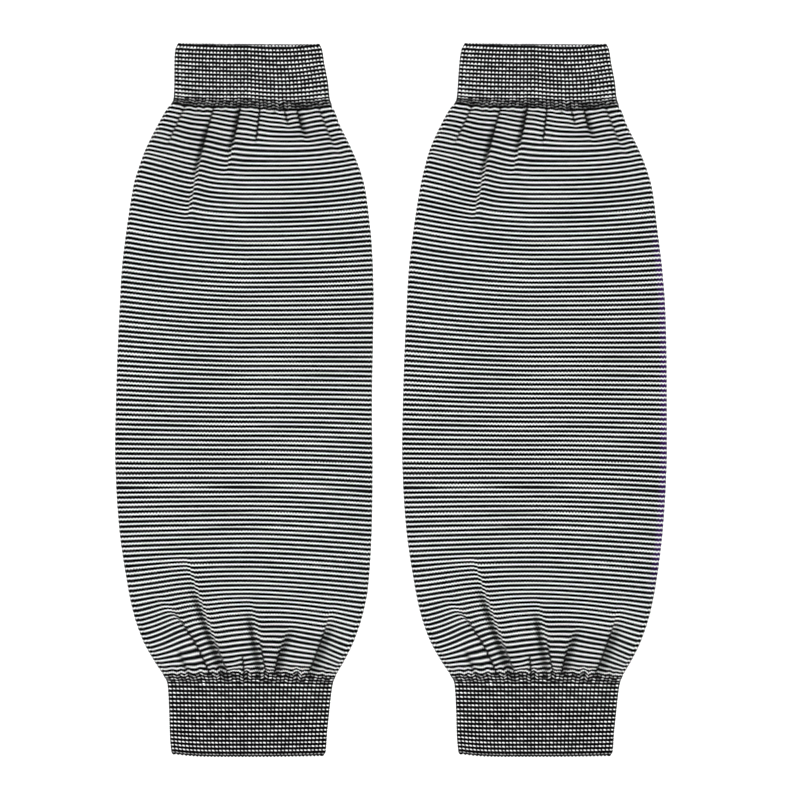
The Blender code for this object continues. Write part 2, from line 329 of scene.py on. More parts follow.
LOWER_CUFF_ROWS = SmoothTable(
    "y",
    (0.0, -0.1464),
    (0.75, -0.1476),
    (1.75, -0.1495),
    (2.75, -0.1512),
    (3.75, -0.1536),
    (7.75, -0.1623),
    (11.75, -0.17125),
    (19.75, -0.1885),
    (20.25, -0.1895),
    (21.0, -0.1902),
)


class Tuck(NamedTuple):
    """Where a side of one sleeve is drawn in more than on its twin."""

    side: float
    top: float
    bottom: float
    depth: float


class Press(NamedTuple):
    """What the gathers do to points of a panel.

    Attributes:
        rise: how far they shift the knit along the tube.
        slide: how far they shift it across the tube.
        sink: how deep they press it in.
        shade: how much painted shade darkens its yarn's colour where less light reaches it, from 0
            to 1.
    """

    rise: Grid
    slide: Grid
    sink: Grid
    shade: Grid

    @classmethod
    def total(cls, presses: Iterable["Press"]) -> "Press":
        """All of them together."""
        return cls(*(sum(parts) for parts in zip(*presses)))

    def times(self, share: Grid, across: float = 1.0) -> "Press":
        """Only a share of it, with the slide turned round where across is -1."""
        slide = self.slide * share * across
        return Press(self.rise * share, slide, self.sink * share, self.shade * share)


class Lift(NamedTuple):
    """How the knit beside a fold's line is shifted along the tube.

    The shift is height at the line and dies away over reach, which grows by flare towards the tip.
    It swells from the tip over the share ramp of the fold's length, and from the seam over hold.
    """

    height: float
    reach: float
    ramp: float = 0.45
    flare: float = 0.0
    hold: float = SEAM_HOLD

    def shift(self, off: Grid, share: Grid, along: Grid) -> Grid:
        """Shift at a distance off the line, at a share of the fold's length from the seam."""
        reach = self.reach * (1.0 + self.flare * share)
        ends = smooth_step((1.0 - share) / self.ramp) * smooth_step(along / self.hold)
        return self.height * bell(off / reach) * ends


class Band(NamedTuple):
    """A soft band of painted shade beside a fold's line, between two shares of the fold's length.
    """

    strength: float
    aside: float
    breadth: float
    start: float
    end: float

    def shade(self, off: Grid, share: Grid) -> Grid:
        """Painted shade at a distance off the line, at a share of the fold's length from the seam.
        """
        fade = (self.end - self.start) * 0.3
        inside = smooth_step((share - self.start) / fade) * smooth_step((self.end - share) / fade)
        return self.strength * inside * bell((off - self.aside) / self.breadth)


@dataclass(frozen=True)
class Gather:
    """A fold that runs from a seam into the tube.

    Attributes:
        near: where it meets the seam, from the sleeve's centre line.
        middle: where it runs halfway along.
        tip: where it dies out.
        length: its length along the tube.
        trough: depth of its soft trough.
        spread: half width of that trough.
        crease: depth of its sharp line.
        keen: share of its length, from the seam, over which the line stays sharp.
        line: how dark the painted shadow along the sharp line is, from 0 to 1.
        shear: half width over which one side's shift turns into the other's past the sharp part.
        left: the shift of the knit on its left.
        right: the shift of the knit on its right.
        band: the band of painted shade beside it.
    """

    near: float
    middle: float
    tip: float
    length: float
    trough: float
    spread: float
    crease: float
    keen: float
    line: float
    shear: float
    left: Lift
    right: Lift
    band: Band = Band(0.0, 0.0, 0.001, 0.0, 1.0)

    @property
    def bow(self) -> float:
        """How strongly the line bows."""
        return 4.0 * (self.middle - (self.near + self.tip) / 2.0)

    def place(self, share: Grid) -> Grid:
        """Where the line runs at a share of its length."""
        return self.near + (self.tip - self.near) * share + self.bow * share * (1.0 - share)

    def lean(self, share: Grid) -> Grid:
        """How far the line runs across for each step away from the seam."""
        return (self.tip - self.near + self.bow * (1.0 - 2.0 * share)) / self.length

    def press(self, x: Grid, along: Grid) -> Press:
        """What this fold does to points.

        Args:
            x: their places from the sleeve's centre line.
            along: their distances from the seam, less than 0 in the cuff.

        Returns:
            The shift, depth and shade at each point. The knit slides along the line, so that the
            line stays where it is and neither side covers it.
        """
        share = np.clip(along / self.length, 0.0, 1.0)
        off = x - self.place(share)
        keen = 1.0 - smooth_step((share - self.keen) / KEEN_FADE)
        shear = KEEN_SHEAR + (self.shear - KEEN_SHEAR) * (1.0 - keen)
        over = 0.5 + 0.5 * np.tanh(off / shear)
        left = self.left.shift(off, share, along) * (1.0 - over)
        right = self.right.shift(off, share, along) * over
        tail = smooth_step((1.0 - share) / TAIL_FADE)
        reach = smooth_step(1.0 + along / CUFF_HOLD)
        swell = (SWELL_START + (1.0 - SWELL_START) * smooth_step(share / SWELL_RUN)) * tail
        soft = self.trough * swell * bell(off / self.spread)
        sharp = self.crease * keen * tail * bell(off / CREASE_WIDTH)
        # The dark line and the band are painted shade: they darken the yarn's colour where the fold
        # shades it
        dark = self.line * keen * np.minimum(LINE_WEIGHT * bell(off / LINE_WIDTH), 1.0)
        return Press(
            rise=left + right,
            slide=(left + right) * self.lean(share),
            sink=(soft + sharp) * reach,
            shade=(dark + self.band.shade(off, share)) * reach,
        )


# Columns: near, middle, tip, length; trough, spread, crease, keen, line, shear; left, right, band
UPPER_GATHERS = (
    Gather(-0.0334, -0.0394, -0.0452, 0.0260, 0.0014, 0.0018, 0.0008, 0.60, 0.90, 0.0010,
           Lift(-0.0006, 0.0043), Lift(0.0008, 0.0050)),
    Gather(-0.0178, -0.0266, -0.0330, 0.0662, 0.0022, 0.0024, 0.0008, 0.28, 0.90, 0.0009,
           Lift(-0.0014, 0.0160, 0.3, 0.0, 0.0200), Lift(0.0011, 0.0064, 0.3),
           Band(0.80, -0.0012, 0.0010, 0.08, 0.60)),
    Gather(-0.0037, -0.0081, -0.0134, 0.0427, 0.0018, 0.0020, 0.0007, 0.30, 0.95, 0.0008,
           Lift(-0.0007, 0.0064), Lift(0.0008, 0.0064), Band(0.80, -0.0011, 0.0010, -0.10, 0.66)),
    Gather(0.0067, 0.0053, 0.0037, 0.0240, 0.0012, 0.0016, 0.0007, 0.65, 1.00, 0.0006,
           Lift(-0.0002, 0.0040), Lift(0.0006, 0.0053)),
    Gather(0.0143, 0.0144, 0.0145, 0.0070, 0.0006, 0.0012, 0.0004, 0.50, 0.60, 0.0006,
           Lift(-0.0001, 0.0020), Lift(0.0002, 0.0020)),
    Gather(0.0190, 0.0210, 0.0230, 0.0150, 0.0012, 0.0014, 0.0005, 0.45, 0.90, 0.0006,
           Lift(-0.0007, 0.0024), Lift(-0.0007, 0.0024)),
    Gather(0.0259, 0.0288, 0.0320, 0.0240, 0.0016, 0.0018, 0.0005, 0.35, 0.80, 0.0010,
           Lift(0.0002, 0.0040), Lift(-0.0008, 0.0053), Band(0.65, 0.0008, 0.0014, 0.02, 0.75)),
    Gather(0.0377, 0.0440, 0.0512, 0.0330, 0.0016, 0.0020, 0.0008, 0.44, 1.00, 0.0012,
           Lift(0.0006, 0.0064), Lift(-0.0014, 0.0080)),
)

LOWER_GATHERS = (
    Gather(-0.0203, -0.0327, -0.0520, 0.0470, 0.0014, 0.0018, 0.0009, 0.49, 1.00, 0.0024,
           Lift(0.0036, 0.0190, 0.65, -0.35, 0.0140), Lift(-0.0008, 0.0048, 0.6)),
    Gather(-0.0104, -0.0231, -0.0336, 0.0662, 0.0020, 0.0024, 0.0007, 0.10, 0.70, 0.0011,
           Lift(0.0017, 0.0080, 0.25, 2.5), Lift(-0.0013, 0.0100, 0.75),
           Band(0.90, -0.0026, 0.0016, -0.14, 0.74)),
    Gather(-0.0019, -0.0025, -0.0032, 0.0120, 0.0010, 0.0014, 0.0007, 0.70, 0.95, 0.0005,
           Lift(0.0006, 0.0032), Lift(-0.0003, 0.0032)),
    Gather(0.0099, 0.0056, 0.0013, 0.0449, 0.0016, 0.0022, 0.0007, 0.24, 0.85, 0.0014,
           Lift(0.0007, 0.0080), Lift(-0.0010, 0.0134), Band(0.92, -0.0036, 0.0014, -0.15, 0.80)),
    Gather(0.0142, 0.0176, 0.0238, 0.0290, 0.0014, 0.0018, 0.0007, 0.32, 0.70, 0.0012,
           Lift(-0.0006, 0.0043), Lift(0.0010, 0.0064), Band(0.72, 0.0016, 0.0021, -0.18, 0.90)),
    Gather(0.0323, 0.0409, 0.0470, 0.0449, 0.0018, 0.0020, 0.0009, 0.42, 0.90, 0.0012,
           Lift(-0.0008, 0.0134, 0.75), Lift(0.0018, 0.0095, 0.75),
           Band(0.72, 0.0022, 0.0022, -0.12, 0.64)),
    Gather(-0.0320, -0.0344, -0.0368, 0.0130, 0.0010, 0.0016, 0.0002, 0.30, 0.20, 0.0008,
           Lift(-0.0004, 0.0030), Lift(0.0003, 0.0030), Band(0.60, 0.0, 0.0012, 0.02, 0.95)),
    Gather(-0.0417, -0.0432, -0.0449, 0.0070, 0.0006, 0.0012, 0.0002, 0.30, 0.20, 0.0006,
           Lift(-0.0003, 0.0020), Lift(0.0003, 0.0020)),
    Gather(0.0400, 0.0411, 0.0422, 0.0085, 0.0008, 0.0014, 0.0003, 0.30, 0.20, 0.0006,
           Lift(-0.0002, 0.0024), Lift(0.0003, 0.0024)),
)


@dataclass(frozen=True)
class GatheredSeam:
    """The gathers that run from one seam into the body.

    Attributes:
        y: the seam's height on the centre line.
        into: 1 where the body lies above the seam, and -1 where it lies below.
        gathers: the folds.
        seed: sets where its ruffles fall.
        wave: how high they are.
    """

    y: float
    into: float
    gathers: tuple[Gather, ...]
    seed: int
    wave: float

    def press(self, x: Grid, y: Grid) -> Press:
        """What the seam's folds do to points of the front."""
        along = self.into * (y - self.y)
        total = Press.total(gather.press(x, along) for gather in self.gathers)
        return total.times(1.0, self.into)

    def crowding(self, x: Grid, y: Grid) -> Grid:
        """How much closer together the mesh's columns run near the folds' lines."""
        along = self.into * (y - self.y)
        total = np.zeros_like(x)
        for gather in self.gathers:
            share = np.clip(along / gather.length, 0.0, 1.0)
            present = smooth_step((1.0 - share) / CROWD_FADE)
            total = total + present * bell((x - gather.place(share)) / CROWD_WIDTH)
        return total

    def ruffle(self, x: Grid, y: Grid) -> Grid:
        """Small waves that the gathering leaves in the rows next to the seam."""
        rng = np.random.default_rng(self.seed)
        wave = np.zeros_like(x)
        for length in RUFFLE_LENGTHS:
            phase, lean = rng.uniform(0.0, 2.0 * math.pi), rng.uniform(-1.0, 1.0)
            pulse = np.sin(2.0 * math.pi * x / (length * RUFFLE_SWELL) + lean * RUFFLE_LEAN)
            wave = wave + pulse * np.sin(2.0 * math.pi * x / length + phase)
        return self.wave * wave * bell(np.abs(y - self.y) / RUFFLE_REACH)


class Panel(Enum):
    """The stretches that a ring of the flat tube runs through, in order."""

    BACK = "back"
    RIGHT_FOLD = "right fold"
    FRONT = "front"
    LEFT_FOLD = "left fold"


@dataclass(frozen=True)
class SleeveForm:
    """How one sleeve lies on the surface.

    Attributes:
        name: the sleeve's name, which its nodes start with.
        centre: where its centre line runs.
        tucks: where its sides are drawn in.
        seams: the two gathered seams.
    """

    name: str
    centre: float
    tucks: tuple[Tuck, ...]
    seams: tuple[GatheredSeam, ...]

    def half_width(self, side: Grid, y: Grid) -> Grid:
        """Half width at height y, on the left where side is less than 0."""
        read = OUTLINE.read(y)
        width = np.where(side < 0.0, read["left"], read["right"])
        for tuck in self.tucks:
            share = (y - tuck.bottom) / (tuck.top - tuck.bottom)
            wave = np.sin(math.pi * np.clip(share, 0.0, 1.0))
            width = width - np.where(side * tuck.side > 0.0, tuck.depth * wave, 0.0)
        return width

    def front_line(self, height: Grid, place: Grid) -> Grid:
        """Where a course runs on the front.

        Args:
            height: its height on the centre line.
            place: places from -1 at the left fold to 1 at the right one.

        Returns:
            Its height at those places.
        """
        course = COURSES.read(height)
        left = course["left"] * np.abs(place) ** course["left_bend"]
        right = course["right"] * np.abs(place) ** course["right_bend"]
        right = right - course["dip"] * np.sin(math.pi * place)
        return height + np.where(place < 0.0, left, right)

    def back_line(self, height: Grid, place: Grid) -> Grid:
        """Where a course runs on the back: it joins the front's at both folds."""
        left = self.front_line(height, np.full_like(place, -1.0))
        right = self.front_line(height, np.ones_like(place))
        straight = left + (right - left) * (place + 1.0) / 2.0
        share = COURSES.read(height)["back"]
        return straight + share * (self.front_line(height, place) - straight)

    def front_press(self, x: Grid, y: Grid, place: Grid) -> Press:
        """What both seams' folds do to points of the front."""
        total = Press.total(seam.press(x, y) for seam in self.seams)
        return total.times(1.0 - np.abs(place) ** FOLDS_END)

    def back_press(self, x: Grid, y: Grid, place: Grid) -> Press:
        """The back's folds are like the front's, turned over and flatter."""
        return self.front_press(-x, y, place).times(BACK_SHARE, -1.0)

    def ruffle(self, x: Grid, y: Grid, place: Grid) -> Grid:
        """The waves beside both seams."""
        total = sum(seam.ruffle(x, y) for seam in self.seams)
        return total * (1.0 - np.abs(place) ** RUFFLES_END)

    def crowded_places(self, heights: Grid, columns: int) -> Grid:
        """Places of the front's columns, which run closer together along the folds.

        Args:
            heights: the rows' heights on the centre line.
            columns: how many strips of faces the front has.

        Returns:
            For each row, the places of its columns from -1 to 1.
        """
        fine = np.linspace(-1.0, 1.0, FINE_PLACES)[None, :]
        height = heights[:, None]
        y = self.front_line(height, fine + 0.0 * height)
        x = fine * (self.half_width(fine, y) - HEIGHTS.read(height)["fold"] / 2.0)
        density = 1.0 + CROWD_STRENGTH * sum(seam.crowding(x, y) for seam in self.seams)
        steps = (density[:, 1:] + density[:, :-1]) / 2.0
        total = np.hstack((np.zeros((len(heights), 1)), np.cumsum(steps, axis=1)))
        total = total / total[:, -1:]
        even = np.linspace(0.0, 1.0, columns + 1)
        return np.array([np.interp(even, row, fine[0]) for row in total])


@dataclass(frozen=True)
class RingLayout:
    """How many columns each stretch of a ring has, and what it is on the flat maps.

    Attributes:
        back: strips across the back.
        fold: strips round a side fold.
        front: strips across the front.
        panel_stitches: stitches or ribs across a panel.
        fold_stitches: stitches or ribs round a side fold.
    """

    back: int
    fold: int
    front: int
    panel_stitches: int
    fold_stitches: int

    @property
    def columns(self) -> int:
        """Columns all round."""
        return self.back + self.front + 2 * self.fold

    @property
    def front_columns(self) -> slice:
        """Which of them lie on the front."""
        return slice(self.back + self.fold, self.back + self.fold + self.front + 1)

    def shares(self, places: Grid) -> tuple[Grid, ...]:
        """How far along its stretch each column is, for each row.

        Args:
            places: the front's places, from -1 to 1.

        Returns:
            Shares from 0 to 1 for the columns of each panel, in the ring's direction.
        """
        rows = len(places)
        back = np.tile(np.linspace(0.0, 1.0, self.back + 1), (rows, 1))
        fold = np.tile(np.linspace(0.0, 1.0, self.fold + 1)[1:-1], (rows, 1))
        return back, fold, (1.0 - places[:, ::-1]) / 2.0, fold

    def round_map(self, places: Grid, back: float, fold: float, front: float) -> Grid:
        """A coordinate that runs all round the ring, with its end repeated.

        Args:
            places: the front's places, from -1 to 1.
            back: how much of the coordinate the back takes.
            fold: how much of it a side fold takes.
            front: how much of it the front takes.

        Returns:
            The coordinate at each row's columns, and at the first one again.
        """
        parts, start = [], 0.0
        for share, size in zip(self.shares(places), (back, fold, front, fold)):
            parts.append(start + size * share)
            start += size
        return np.hstack(parts + [np.full((len(places), 1), start)])

    def stitch_map(self, places: Grid) -> Grid:
        """The coordinate in stitches or ribs."""
        return self.round_map(places, self.panel_stitches, self.fold_stitches, self.panel_stitches)

    def bake_map(self, places: Grid) -> Grid:
        """The coordinate on the bake map, wider on the front than on the back."""
        return self.round_map(places, 1.0 - BAKE_FRONT - 2.0 * BAKE_FOLD, BAKE_FOLD, BAKE_FRONT)


@dataclass
class Rows:
    """Rows of the knit on one face of a wall.

    Attributes:
        heights: their heights on the centre line.
        counts: their places in the knit.
        places: the front's places in each row, from -1 to 1.
        relief: how far each point is sunk into the wall by the knit's own relief.
        marks: values for the material, by name.
        wander: how far each row strays along the tube.
    """

    heights: Grid
    counts: Grid
    places: Grid
    relief: Grid
    marks: dict[str, Grid]
    wander: Grid

    def pick(self, index: Grid) -> "Rows":
        """Only some of the rows, in the order of the index."""
        marks = {key: grid[index] for key, grid in self.marks.items()}
        grids = (self.heights, self.counts, self.places, self.relief)
        return Rows(*(grid[index] for grid in grids), marks, self.wander[index])


@dataclass
class Skin:
    """Rows of the knit as points round the tube.

    Attributes:
        points: the points, by row and column.
        rows: the rows, with the folds' painted shade among their marks.
        charts: each row's place on the bake map.
    """

    points: Grid
    rows: Rows
    charts: Grid


def tube_skin(
    form: SleeveForm, layout: RingLayout, rows: Rows, wall: float, inset: float, charts: Grid
) -> Skin:
    """Lay rows of points round a sleeve.

    Args:
        form: the sleeve's form.
        layout: the columns of a ring.
        rows: the knit's rows.
        wall: how thick the wall is.
        inset: how far the skin lies inside the wall's outer face.
        charts: the rows' places on the bake map.

    Returns:
        The skin.
    """
    height = rows.heights[:, None]
    phase = height * WANDER_ALONG
    read = HEIGHTS.read(height)
    radius = read["fold"] / 2.0
    parts, shades, column = [], [], 0
    for panel, share in zip(Panel, layout.shares(rows.places)):
        sunk = inset + rows.relief[:, column : column + share.shape[1]]
        column += share.shape[1]
        if panel in (Panel.BACK, Panel.FRONT):
            front = panel is Panel.FRONT
            place = 1.0 - 2.0 * share if front else 2.0 * share - 1.0
            y = (form.front_line if front else form.back_line)(height, place)
            x = place * (form.half_width(place, y) - radius)
            press = (form.front_press if front else form.back_press)(x, y, place)
            stray = rows.wander * np.cos(x * WANDER_ACROSS + phase)
            y = y + press.rise + form.ruffle(x, y, place) + stray
            x = x + press.slide
            if front:
                crown = 1.0 - np.abs(place) ** read["crown"]
                top = read["fold"] + (read["middle"] - read["fold"]) * crown - press.sink
                lift = form.back_press(x, y, place).sink
                z = np.maximum(top, 2.0 * wall + LAYER_GAP + lift) - sunk
            else:
                z = press.sink + sunk
            shade = press.shade
        else:
            side = 1.0 if panel is Panel.RIGHT_FOLD else -1.0
            angle = math.pi * (share - 0.5) * side
            place = np.full_like(share, side)
            y = form.front_line(height, place) + rows.wander * np.cos(side * WANDER_FOLD + phase)
            across = form.half_width(place, y) - radius + (radius - sunk) * np.cos(angle)
            x = side * across
            z = radius + (radius - sunk) * np.sin(angle)
            shade = np.zeros_like(x)
        parts.append(np.stack((x, y + 0.0 * x, z + 0.0 * x), axis=-1))
        shades.append(shade)
    # The folds' painted shade, by which the material darkens the yarn's colour
    marks = rows.marks | {"shade": np.clip(np.hstack(shades), 0.0, 1.0)}
    return Skin(np.concatenate(parts, axis=1), replace(rows, marks=marks), charts)


def rolled_rim(start: Skin, stop: Skin, outward: Grid, chart_end: float) -> Skin:
    """Join one skin's last ring to another's first with a rounded edge.

    Args:
        start: the skin that the edge starts from.
        stop: the skin that it leads to.
        outward: how far it bulges along the tube at each column, less than 0 towards the hem.
        chart_end: where the edge ends on the bake map.

    Returns:
        The rows between the two rings.
    """
    first, second = start.points[-1], stop.points[0]
    middle, arm = (first + second) / 2.0, (first - second) / 2.0
    angles = math.pi * RIM_TURNS[:, None, None]
    points = middle + arm * np.cos(angles)
    points[:, :, 1] += outward * np.sin(angles[:, :, 0])
    charts = start.charts[-1] + (chart_end - start.charts[-1]) * RIM_TURNS
    return Skin(points, start.rows.pick(np.full(len(RIM_TURNS), -1)), charts)


def make_shell(name: str, layout: RingLayout, skins: Sequence[Skin]) -> bpy.types.Object:
    """Make a closed wall.

    Args:
        name: the piece's name.
        layout: the columns of a ring.
        skins: what follows round the wall's section, first the outer face from its upper end.

    Returns:
        The piece, with its maps and marks but no material.
    """
    points = np.concatenate([skin.points for skin in skins])
    knit = [skin.rows for skin in skins]
    counts = np.concatenate([part.counts for part in knit] + [knit[0].counts[:1]])
    places = np.concatenate([part.places for part in knit] + [knit[0].places[:1]])
    charts = np.concatenate([skin.charts for skin in skins] + [np.ones(1)])
    rows, columns = points.shape[:2]
    row, column = np.meshgrid(np.arange(rows), np.arange(columns), indexing="ij")
    steps = ((0, 0), (0, 1), (1, 1), (1, 0))
    corners = [(row + r) % rows * columns + (column + c) % columns for r, c in steps]
    faces = np.stack(corners, axis=-1).reshape(-1, 4)
    mesh = bpy.data.meshes.new(name)
    mesh.from_pydata(points.reshape(-1, 3).tolist(), [], faces.tolist())
    cloth = ("cloth", layout.stitch_map(places), counts)
    for label, across, down in (cloth, ("OFBake", layout.bake_map(places), charts)):
        flat = [np.stack((across[row + r, column + c], down[row + r]), axis=-1) for r, c in steps]
        layer = mesh.uv_layers.new(name=label)
        layer.data.foreach_set("uv", np.stack(flat, axis=2).astype(np.float32).ravel())
    mesh.uv_layers["cloth"].active_render = True
    for key in knit[0].marks:
        grid = np.concatenate([part.marks[key] for part in knit])
        attribute = mesh.attributes.new(key, "FLOAT", "POINT")
        attribute.data.foreach_set("value", grid.astype(np.float32).ravel())
    mesh.shade_smooth()
    piece = bpy.data.objects.new(name, mesh)
    bpy.context.scene.collection.objects.link(piece)
    return piece


class Graph:
    """Adds nodes to one node tree and links them."""

    def __init__(self, tree: Tree) -> None:
        """Work on a tree."""
        self.tree = tree

    def node(self, kind: str, **settings: object) -> bpy.types.Node:
        """Add a node and set its properties.

        Args:
            kind: the node's type.
            settings: its properties by name.

        Returns:
            The node.
        """
        node = self.tree.nodes.new(kind)
        for key, value in settings.items():
            setattr(node, key, value)
        return node

    def feed(self, socket: Socket, value: object) -> None:
        """Link a socket to another, or set its own value."""
        if isinstance(value, Socket):
            self.tree.links.new(value, socket)
        else:
            socket.default_value = value

    def result(
        self, kind: str, output: str | int, given: dict[str | int, object], **settings: object
    ) -> Socket:
        """Add a node, feed it and take what it puts out.

        Args:
            kind: the node's type.
            output: which of its outputs is taken.
            given: its inputs' values by name or number.
            settings: its properties by name.

        Returns:
            The output.
        """
        node = self.node(kind, **settings)
        for name, value in given.items():
            self.feed(node.inputs[name], value)
        return node.outputs[output]

    def math(self, operation: str, *values: Socket | float) -> Socket:
        """Work out one number from others."""
        return self.result("ShaderNodeMath", 0, dict(enumerate(values)), operation=operation)

    def times(self, first: Socket | float, second: Socket | float) -> Socket:
        """One number times another."""
        return self.math("MULTIPLY", first, second)

    def blend(self, first: Socket, second: Socket | float, third: Socket | float) -> Socket:
        """The first number times the second, plus the third."""
        return self.math("MULTIPLY_ADD", first, second, third)

    def less(self, first: Socket | float, second: Socket | float) -> Socket:
        """One number less another."""
        return self.math("SUBTRACT", first, second)

    def step(self, value: Socket, low: Socket | float, high: Socket | float) -> Socket:
        """Rise smoothly from 0 at low to 1 at high."""
        given = {"Value": value, "From Min": low, "From Max": high}
        return self.result("ShaderNodeMapRange", "Result", given, interpolation_type="SMOOTHSTEP")

    def mix(self, share: Socket, first: Socket | Colour, second: Socket | Colour) -> Socket:
        """Mix two colours.

        Args:
            share: how much of the second one.
            first: one colour.
            second: the other.

        Returns:
            The mixed colour.
        """
        node = self.node("ShaderNodeMix", data_type="RGBA")
        self.feed(node.inputs["Factor"], share)
        for name, given in (("A", first), ("B", second)):
            socket = next(s for s in node.inputs if s.name == name and s.type == "RGBA")
            self.feed(socket, (*given, 1.0) if isinstance(given, tuple) else given)
        return next(s for s in node.outputs if s.type == "RGBA")

    def scaled(self, colour: Colour, share: Socket) -> Socket:
        """A colour times a number."""
        given = {0: colour, "Scale": share}
        return self.result("ShaderNodeVectorMath", 0, given, operation="SCALE")

    def join(self, x: Socket, y: Socket) -> Socket:
        """Join two numbers into a vector."""
        return self.result("ShaderNodeCombineXYZ", "Vector", {"X": x, "Y": y})

    def noise(self, vector: Socket, scale: float) -> Socket:
        """Smooth noise from 0 to 1."""
        given = {"Vector": vector, "Scale": scale, "Detail": 1.0}
        return self.result("ShaderNodeTexNoise", 0, given, noise_dimensions="2D")

    def scatter(self, vector: Socket) -> Socket:
        """A random number from 0 to 1 for each place."""
        given = {"Vector": vector}
        return self.result("ShaderNodeTexWhiteNoise", "Value", given, noise_dimensions="2D")

    def mark(self, name: str) -> Socket:
        """A value that the mesh carries."""
        return self.result("ShaderNodeAttribute", "Fac", {}, attribute_name=name)

    def knit_place(self) -> tuple[Socket, Socket]:
        """Stitches across and rows down, on the mesh's knit map."""
        split = self.node("ShaderNodeSeparateXYZ")
        self.feed(split.inputs[0], self.node("ShaderNodeUVMap", uv_map="cloth").outputs["UV"])
        return split.outputs["X"], split.outputs["Y"]

    def use(self, group: Tree, **values: object) -> Sockets:
        """Place a group.

        Args:
            group: the group.
            values: its inputs, with an underscore for each space in a name.

        Returns:
            Its outputs by name.
        """
        node = self.node("ShaderNodeGroup", node_tree=group)
        for key, value in values.items():
            self.feed(node.inputs[key.replace("_", " ")], value)
        return {socket.name: socket for socket in node.outputs}


class Kind(Enum):
    """What a group's socket carries."""

    NUMBER = "NodeSocketFloat"
    COLOUR = "NodeSocketColor"


def start_group(name: str, inputs: str, outputs: str) -> tuple[Tree, Graph, Sockets, Sockets]:
    """Make an empty shader node group.

    Args:
        name: its name.
        inputs: its inputs' names with commas between, of which Colour is a colour.
        outputs: its outputs' names in the same way.

    Returns:
        The tree, a graph on it, its input values and the sockets that its outputs end in.
    """
    tree = bpy.data.node_groups.new(name, "ShaderNodeTree")
    for direction, labels in (("INPUT", inputs), ("OUTPUT", outputs)):
        for label in labels.split(", "):
            kind = Kind.COLOUR if label == "Colour" else Kind.NUMBER
            tree.interface.new_socket(label, in_out=direction, socket_type=kind.value)
    graph = Graph(tree)
    taken = {s.name: s for s in graph.node("NodeGroupInput").outputs if s.name}
    given = {s.name: s for s in graph.node("NodeGroupOutput").inputs if s.name}
    return tree, graph, taken, given


# How the jersey's noise runs and how far it shifts the stitches, how soft a course's edge is, and
# how high its stitches stand, most at the ends of their legs
PATCH_SCALE = 0.16
PATCH_SHIFT = 0.25
STRAY_SCALE = 0.55
STRAY_SHIFT = 0.12
COURSE_EDGE = 0.05
LEG_HEIGHT = 1.2
LEG_RISE = 0.8

# How the ribs' stitches go in runs: the noise behind them, its share beside pure chance, its jump
# from row to row and how far a run drops
RUN_SCALE = 0.45
RUN_EDGE = (0.3, 0.7)
RUN_SHARE = 0.45
CHANCE_SHARE = 0.55
ROW_JUMP = 7.3
RUN_DROP = 0.9

# How square a white stitch is, how soft its edge and its row's are, where its arch is level, and
# its least size and tone with how much more of each there may be
STITCH_POWER = 2.4
STITCH_EDGE = (0.70, 1.20)
ROW_EDGE = (0.6, 1.3)
ARCH_LEVEL = 0.3
LEAST_SIZE = 0.86
MORE_SIZE = 0.28
LEAST_TONE = 0.89
MORE_TONE = 0.18


def plain_courses_group() -> Tree:
    """Build the group that draws single courses of two yarns with stitches in them.

    Returns:
        The group, which puts out where the dark yarn lies and the stitches' height.
    """
    tree, graph, taken, given = start_group(
        "plain_courses", "Wales, Courses, Dark Share, Zigzag, Stray", "Dark, Height"
    )
    wales, courses, share = taken["Wales"], taken["Courses"], taken["Dark Share"]
    place = graph.join(wales, courses)
    patch = graph.noise(place, PATCH_SCALE)
    stray = graph.less(graph.noise(place, STRAY_SCALE), 0.5)
    drift = graph.blend(stray, STRAY_SHIFT, wales)
    tooth = graph.math("PINGPONG", graph.blend(patch, PATCH_SHIFT, drift), 0.5)
    tooth = graph.blend(tooth, 4.0, -1.0)
    moved = graph.blend(taken["Zigzag"], tooth, courses)
    moved = graph.blend(taken["Stray"], stray, moved)
    away = graph.math("PINGPONG", graph.less(moved, 0.5), 1.0)
    low, high = graph.less(share, COURSE_EDGE), graph.math("ADD", share, COURSE_EDGE)
    light = graph.step(away, low, high)
    graph.feed(given["Dark"], graph.less(1.0, light))
    round_yarn = graph.math("PINGPONG", moved, 0.5)
    leg = graph.blend(graph.math("ABSOLUTE", tooth), LEG_RISE, LEG_HEIGHT)
    graph.feed(given["Height"], graph.times(round_yarn, leg))
    return tree


